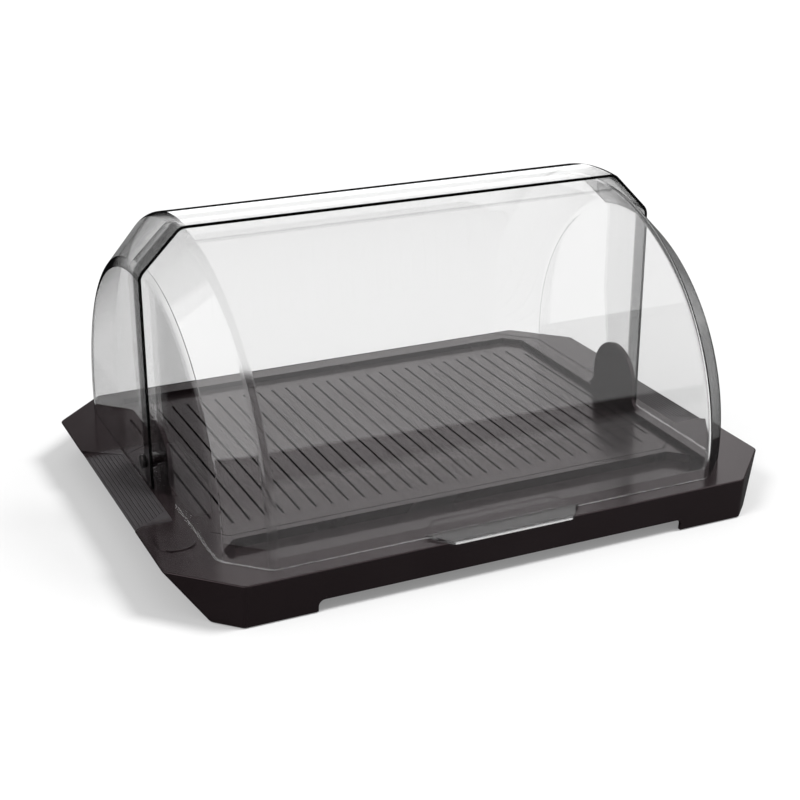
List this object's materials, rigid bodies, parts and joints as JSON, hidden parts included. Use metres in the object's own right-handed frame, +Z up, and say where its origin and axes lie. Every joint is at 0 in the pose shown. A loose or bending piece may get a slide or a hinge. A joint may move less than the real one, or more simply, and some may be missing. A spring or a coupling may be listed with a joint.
{
  "type": "countertop bread display bin",
  "caption": "Countertop bread display bin: shallow base tray with a lift-out slotted crumb board, a fixed clear rear cover and a clear roll-up front door on side pivots.",
  "frame": {"origin": "centre of the overall footprint, on the table under the feet", "axes": "+X to the object's right seen from the front, +Y to the rear, +Z up"},
  "size_m": [0.4, 0.3109, 0.1927],
  "materials": {
    "charcoal_plastic": "fine matte moulding texture",
    "clear_plastic": "clear polished moulded plastic",
    "black_plastic": "satin",
    "foot_rubber": "matte"
  },
  "bodies": {
    "base": {"base_tray": "charcoal_plastic", "rear_cover": "clear_plastic", "left_pivot_cap": "black_plastic", "right_pivot_cap": "black_plastic", "front_left_foot": "foot_rubber", "front_right_foot": "foot_rubber", "rear_left_foot": "foot_rubber", "rear_right_foot": "foot_rubber"},
    "door": {"front_door": "clear_plastic"},
    "board": {"crumb_board": "charcoal_plastic"}
  },
  "joints": [
    {"name": "door_hinge", "type": "hinge", "parent": "base", "child": "door", "pos_m": [0, 0.0035, 0.0413], "axis": [-1, 0, 0], "range_deg": [0, 80]},
    {"name": "board_lift", "type": "slide", "parent": "base", "child": "board", "axis": [0, 0, 1], "range_m": [0, 0.012]}
  ]
}
